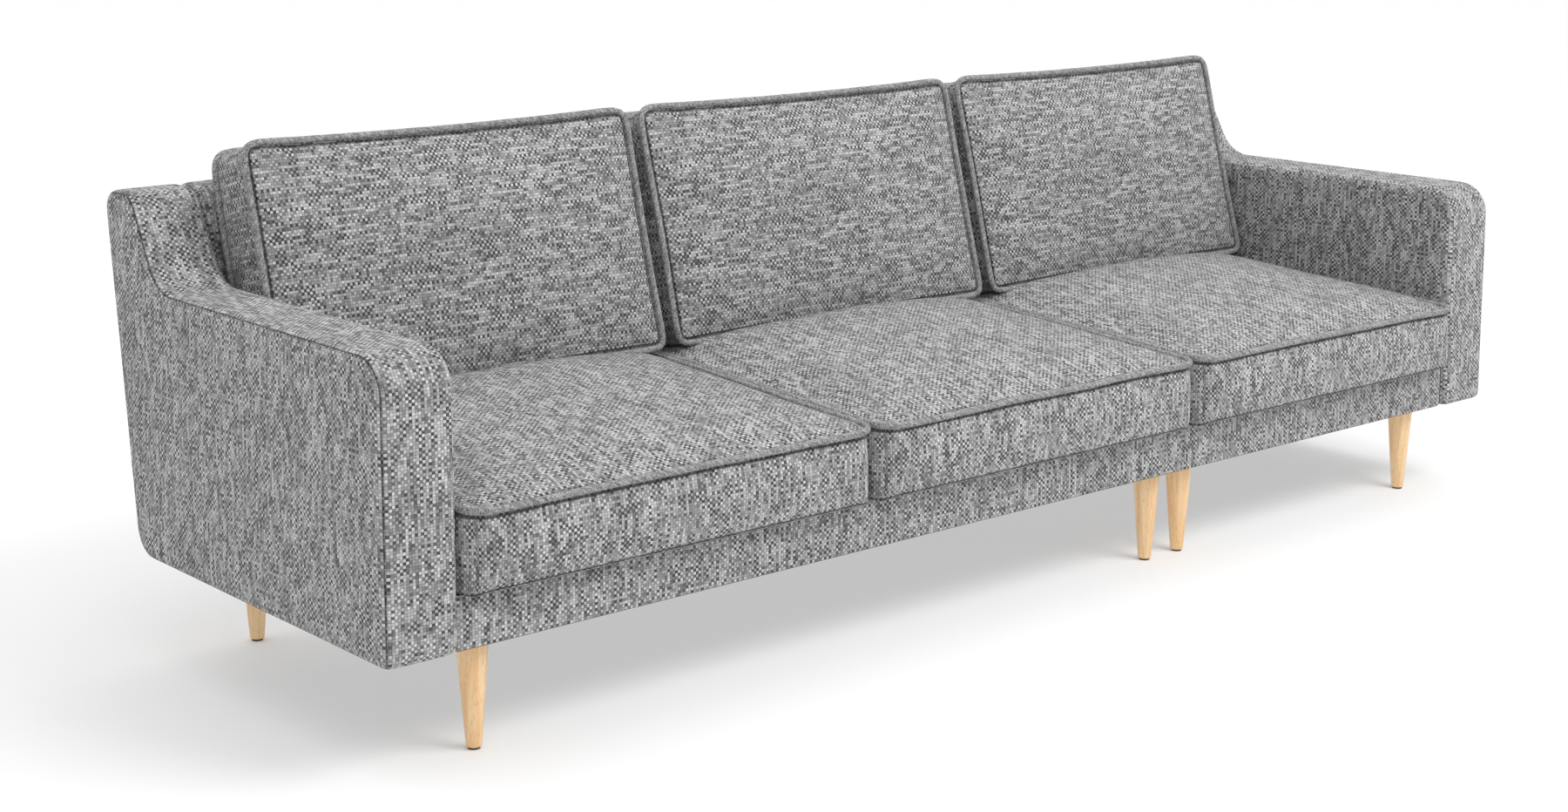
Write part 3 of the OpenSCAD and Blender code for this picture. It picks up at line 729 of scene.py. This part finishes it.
def makeSeat(number, body):
    s = seatShape
    low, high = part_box("seat_cover_%d" % number)
    x0, x1 = low.x + s["sideGap"], high.x - s["sideGap"]
    width, depth, rise = x1 - x0, s["back"] - s["front"], s["edge"] - s["foot"]
    steps = stepsFor((width, depth, rise), s["cell"])
    spans = [len(k) - 1 for k in steps]
    piece, flat, index = gridBlock("seatCushion%d" % number, steps)
    cushionUv(piece, flat, {0: 2, 1: 2, 2: 1})
    radii = (s["frontRadius"], s["frontRadius"], s["rearRadius"], s["rearRadius"])
    x, y = roundPlan(flat[:, 0], flat[:, 1], width, depth, radii)
    z = flat[:, 2] / rise
    # Height: the edge rises to the back, and the top crowns between the sides
    acrossShare = np.clip(2 * np.minimum(x, width - x) / width, 0, 1)
    alongShare = np.clip(y / depth, 0, 1)
    edgeHeight = s["edge"] + (s["rearEdge"] - s["edge"]) * np.clip(alongShare * 1.15, 0, 1) ** 0.9
    fallToBack = 1 - 0.35 * np.clip((alongShare - 0.8) / 0.2, 0, 1)
    crown = (1 - (1 - acrossShare) ** 2.6) * (1 - np.exp(-y / 0.11)) * fallToBack
    onTop = index[:, 2] == spans[2]
    top = np.where(onTop, s["crown"] * crown, 0)
    height = s["foot"] + z * (edgeHeight - s["foot"]) + top
    # The front bulges under the piping and rolls under at the foot
    frontness = np.exp(-y / 0.02)
    bulge = s["bulge"] * np.sin(math.pi * np.clip(z, 0, 1)) ** 0.8 * frontness
    drop = np.clip((s["rollRadius"] - flat[:, 2]) / s["rollRadius"], 0, 1)
    near0 = np.clip((s["rollRadius"] - y) / s["rollRadius"], 0, 1)
    roll = np.minimum(drop, near0) ** 1.5
    y = y - bulge + roll * s["rollRadius"] * s["rollPull"]
    height = height + roll * s["rollRadius"] * s["rollPull"]
    points = np.stack([x0 + x, s["front"] + s["frontInset"] + y, height], 1)
    writePoints(piece, points)
    bottom = index[:, 2] == 0
    topRing = onTop & (atEnds(index, spans, 0) | atEnds(index, spans, 1))
    held = np.where(bottom, 1.0, np.where(topRing, 0.5, 0.0))
    points = inflate(piece, held, clothRun)
    points[:, 0] = np.clip(points[:, 0], low.x + s["edgeGap"], high.x - s["edgeGap"])
    points[:, 2] = np.maximum(points[:, 2], s["foot"])
    points[:, 1] = np.minimum(points[:, 1], s["back"])
    points[:, 2] += np.where(points[:, 2] > 0.38, s["waviness"] * ripple(points, 6.0, number * 4.0), 0)
    writePoints(piece, points)
    line = points[loopOf(index, 2, spans[2], spans)]
    outward = edgeOutward(line, (width / 2, depth / 2), ((1, 0, 0), (0, 1, 0)))
    pipeLine = line + outward * s["pipingOut"] + (0, 0, s["pipingUp"])
    pipeLine[:, 0] = np.clip(pipeLine[:, 0], low.x + s["piping"] + s["edgeGap"], high.x - s["piping"] - s["edgeGap"])
    toEdge = np.minimum.reduce([flat[:, 0], width - flat[:, 0], flat[:, 1], depth - flat[:, 1]])
    # Sewn under the piping, and again where the box meets the bottom panel; the dark lines there are painted shade,
    # under the piping and under the cushion's foot above the base
    onBox = np.minimum(rise - flat[:, 2] - s["topSeam"], flat[:, 2] - s["lowSeam"])
    offTop = np.where(bottom, -toEdge - s["lowSeam"], onBox)
    writeField(piece, "seamAndShadeDistance", np.where(onTop, toEdge - s["topSeam"], offTop))
    applyModifier(piece, "SUBSURF", levels=1, render_levels=1)
    finishFabric(piece, body, ["seat_cover_%d" % number, "seat_core_%d" % number])
    piping = addPiping("seatPiping%d" % number, pipeLine, s["piping"])
    finishFabric(piping, body, [])


for number in (1, 2, 3):
    makeSeat(number, "seat_cushion_%d" % number)
print("seat cushions ready")


# Back cushions: leaning, boxed, piped at both faces, with a crowned front
restShape = {
    "frontFoot": (0.1348, 0.4400), "lean": 15.5, "height": 0.441, "thickFoot": 0.108, "thickTop": 0.096,
    "crown": 0.020, "topRadius": 0.030, "footRadius": 0.022, "cell": 0.0135, "sag": 0.004,
    "sideGap": 0.005, "edgeGap": 0.0008, "sideReach": 0.006, "lastReach": 0.004, "rearReach": 0.0015,
    "waviness": 0.0025, "fill": 0.6,
    # The piping's radius, and how far it lies out from the edge and off the panel; where the seams are sewn, and
    # where their dark lines of painted shade are drawn
    "piping": 0.0058, "pipingOut": 0.0030, "pipingOff": 0.0022, "faceSeam": 0.0070, "boxSeam": 0.0012,
}


def makeRest(number, body):
    s = restShape
    low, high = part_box("rest_cover_%d" % number)
    width, tall = high.x - low.x - 2 * s["sideGap"], s["height"]
    thick = s["thickFoot"]
    steps = stepsFor((width, thick, tall), s["cell"])
    spans = [len(k) - 1 for k in steps]
    piece, flat, index = gridBlock("backCushion%d" % number, steps)
    cushionUv(piece, flat, {0: 1, 1: 0, 2: 0})
    radii = (s["footRadius"], s["footRadius"], s["topRadius"], s["topRadius"])
    x, v = roundPlan(flat[:, 0], flat[:, 2], width, tall, radii)
    w = flat[:, 1] / thick
    acrossShare = np.clip(2 * np.minimum(x, width - x) / width, 0, 1)
    upShare = np.clip(v / tall, 0, 1)
    dome = (1 - (1 - acrossShare) ** 2.4) * (1 - np.abs(2 * upShare - 1) ** 2.4)
    depthHere = thick + (s["thickTop"] - thick) * upShare
    onFront = index[:, 1] == 0
    front = np.where(onFront, s["crown"] * dome, 0)
    off = w * depthHere - front
    # The top edge sags between plump corners
    sag = s["sag"] * np.sin(math.pi * np.clip(x / width, 0, 1)) ** 0.7 * upShare ** 4
    v = v - sag
    lean = math.radians(s["lean"])
    y0, z0 = s["frontFoot"]
    y = y0 + v * math.sin(lean) + off * math.cos(lean)
    z = z0 + v * math.cos(lean) - off * math.sin(lean)
    points = np.stack([low.x + s["sideGap"] + x, y, z], 1)
    writePoints(piece, points)
    onFace = atEnds(index, spans, 1)
    edgeRing = (atEnds(index, spans, 0) | atEnds(index, spans, 2)) & onFace
    held = np.where(index[:, 1] == spans[1], 0.9, np.where(edgeRing, 0.5, 0.0))
    points = inflate(piece, held, clothRun)
    up = np.array([0, math.sin(lean), math.cos(lean)])
    outOfBack = np.array([0, math.cos(lean), -math.sin(lean)])
    behind = (points - (0, y0, z0)) @ outOfBack
    limit = thick + s["rearReach"]
    points -= np.maximum(behind - limit, 0)[:, None] * outOfBack
    # The sides may reach past the CAD box, by less on the last one's outer side
    gap, reach = s["edgeGap"], s["sideReach"]
    lastX = high.x - gap + reach if number < 3 else high.x + s["lastReach"]
    points[:, 0] = np.clip(points[:, 0], low.x + gap - reach, lastX)
    wave = s["waviness"] * ripple(points, 5.5, number * 7.0)
    points += np.where(onFront, wave, 0)[:, None] * outOfBack
    writePoints(piece, points)
    toEdge = np.minimum.reduce([flat[:, 0], width - flat[:, 0], flat[:, 2], tall - flat[:, 2]])
    toFace = np.minimum(flat[:, 1], thick - flat[:, 1])
    # The seams' dark lines beside the piping are painted shade
    writeField(piece, "seamAndShadeDistance", np.where(onFace, toEdge - s["faceSeam"], toFace + s["boxSeam"]))
    lines = []
    for level, sign in ((0, -1), (spans[1], 1)):
        line = points[loopOf(index, 1, level, spans)]
        outward = edgeOutward(line, (width / 2, tall / 2), ((1, 0, 0), up))
        lines.append(line + outward * s["pipingOut"] + sign * s["pipingOff"] * outOfBack)
    applyModifier(piece, "SUBSURF", levels=1, render_levels=1)
    finishFabric(piece, body, ["rest_cover_%d" % number, "rest_core_%d" % number])
    for label, line in zip(("Front", "Rear"), lines):
        piping = addPiping("back%sPiping%d" % (label, number), line, s["piping"])
        finishFabric(piping, body, [])


for number in (1, 2, 3):
    makeRest(number, "back_cushion_%d" % number)
print("back cushions ready")


# Studio: a plain pale floor, a sky that brightens upward, a broad key light and a weak fill under the sofa
studio = {"floor": "#F6F6F6", "zenith": 1.50, "horizon": 0.30, "key": 105.0, "under": 3.2}
deselectAll()
bpy.ops.mesh.primitive_plane_add(size=60, location=(0, 0, 0))
floor = bpy.context.object
floor.name = "studioFloor"
floorMaterial, floorTree = newMaterial("paintedFloor")
floorShader = addNode(floorTree, "BsdfPrincipled", {"Base Color": linearColour(studio["floor"]), "Roughness": 0.75})
addNode(floorTree, "OutputMaterial", [floorShader])
floor.data.materials.append(floorMaterial)

scene.world = bpy.data.worlds.new("studioWorld")
scene.world.use_nodes = True
worldTree = scene.world.node_tree
worldTree.nodes.clear()
skyHeight = addNode(worldTree, "TexCoord", out="Generated")
skyHeight = addNode(worldTree, "SeparateXYZ", [skyHeight]).node.outputs[2]
skyShare = addNode(worldTree, "MapRange", [skyHeight, 0.0, 1.0, studio["horizon"], studio["zenith"]])
skyLight = addNode(worldTree, "Background", {"Color": linearColour("#FFFFFF"), "Strength": skyShare})
addNode(worldTree, "OutputWorld", [skyLight])


def addLight(name, place, target, size, power):
    bpy.ops.object.light_add(type="AREA", location=place)
    light = bpy.context.object
    light.name = name
    light.data.shape = "RECTANGLE"
    light.data.size, light.data.size_y = size
    light.data.energy = power
    light.rotation_euler = (Vector(target) - Vector(place)).to_track_quat("-Z", "Y").to_euler()


addLight("keyLight", (1.3, -3.4, 4.1), (0, 0, 0.3), (3.0, 2.0), studio["key"])
addLight("underFill", (0.0, 0.0, 0.17), (0, 0, 0), (2.5, 0.72), studio["under"])
print("studio ready")
